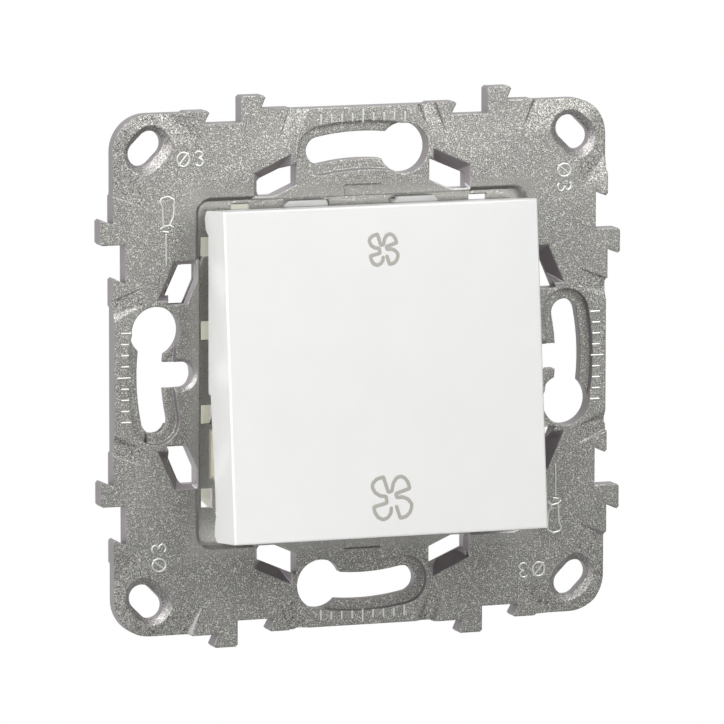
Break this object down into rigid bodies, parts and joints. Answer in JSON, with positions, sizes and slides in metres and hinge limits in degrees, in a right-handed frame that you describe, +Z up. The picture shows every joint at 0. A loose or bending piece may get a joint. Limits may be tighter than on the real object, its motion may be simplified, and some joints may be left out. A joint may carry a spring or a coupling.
{
  "type": "fan switch",
  "caption": "Flush-mounted two-speed fan switch: white tilting rocker with fan symbols, in a die-cast zinc fixing frame with keyholes and interlocking dovetails.",
  "frame": {"origin": "centre of the fixing frame's rear face, in the wall plane, in the middle of the four keyholes' circle", "axes": "+X to the right seen from the front, +Y into the wall, +Z up"},
  "size_m": [0.0744, 0.0415, 0.0744],
  "materials": {
    "cast_zinc": "as-cast zinc, fine sparkling grain",
    "white_plastic": "satin moulded polycarbonate",
    "key_plastic": "glossy white moulded plastic, fan symbols printed in grey",
    "natural_plastic": "natural, slightly yellow moulded nylon",
    "lever_plastic": "grey moulded plastic",
    "spring_steel": "stainless spring strip and wire",
    "brass_strip": "stamped and bent brass",
    "copper_strip": "stamped copper alloy",
    "silver_contact": "silver alloy contact rivet"
  },
  "bodies": {
    "mechanism": {"fixing_frame": "cast_zinc", "mechanism_cover": "white_plastic", "mechanism_housing": "natural_plastic", "low_fixed_contact": "silver_contact", "high_fixed_contact": "silver_contact", "common_terminal": "brass_strip", "low_speed_terminal": "brass_strip", "high_speed_terminal": "brass_strip", "common_clamp_spring": "spring_steel", "low_speed_clamp_spring": "spring_steel", "high_speed_clamp_spring": "spring_steel"},
    "rocker": {"rocker_key": "key_plastic", "rocker_cradle": "white_plastic", "plunger": "white_plastic", "plunger_spring": "spring_steel"},
    "contact": {"contact_blade": "copper_strip", "low_moving_contact": "silver_contact", "high_moving_contact": "silver_contact"},
    "common_lever": {"common_release_lever": "lever_plastic"},
    "low_speed_lever": {"low_speed_release_lever": "lever_plastic"},
    "high_speed_lever": {"high_speed_release_lever": "lever_plastic"}
  },
  "joints": [
    {"name": "rocker_tilt", "type": "hinge", "parent": "mechanism", "child": "rocker", "pos_m": [0, -0.00546, 0], "axis": [1, 0, 0], "range_deg": [0, 11.5]},
    {"name": "contact_rock", "type": "hinge", "parent": "mechanism", "child": "contact", "pos_m": [0, 0.0095, 0], "axis": [1, 0, 0], "range_deg": [-11.5, 0]},
    {"name": "common_release", "type": "slide", "parent": "mechanism", "child": "common_lever", "axis": [0, -1, 0], "range_m": [0, 0.001], "stiffness_N_per_m": 400, "springref_m": -0.0003},
    {"name": "low_speed_release", "type": "slide", "parent": "mechanism", "child": "low_speed_lever", "axis": [0, -1, 0], "range_m": [0, 0.001], "stiffness_N_per_m": 400, "springref_m": -0.0003},
    {"name": "high_speed_release", "type": "slide", "parent": "mechanism", "child": "high_speed_lever", "axis": [0, -1, 0], "range_m": [0, 0.001], "stiffness_N_per_m": 400, "springref_m": -0.0003}
  ],
  "couplings": [
    {"joint": "contact_rock", "follows": "rocker_tilt", "ratio": -1}
  ]
}
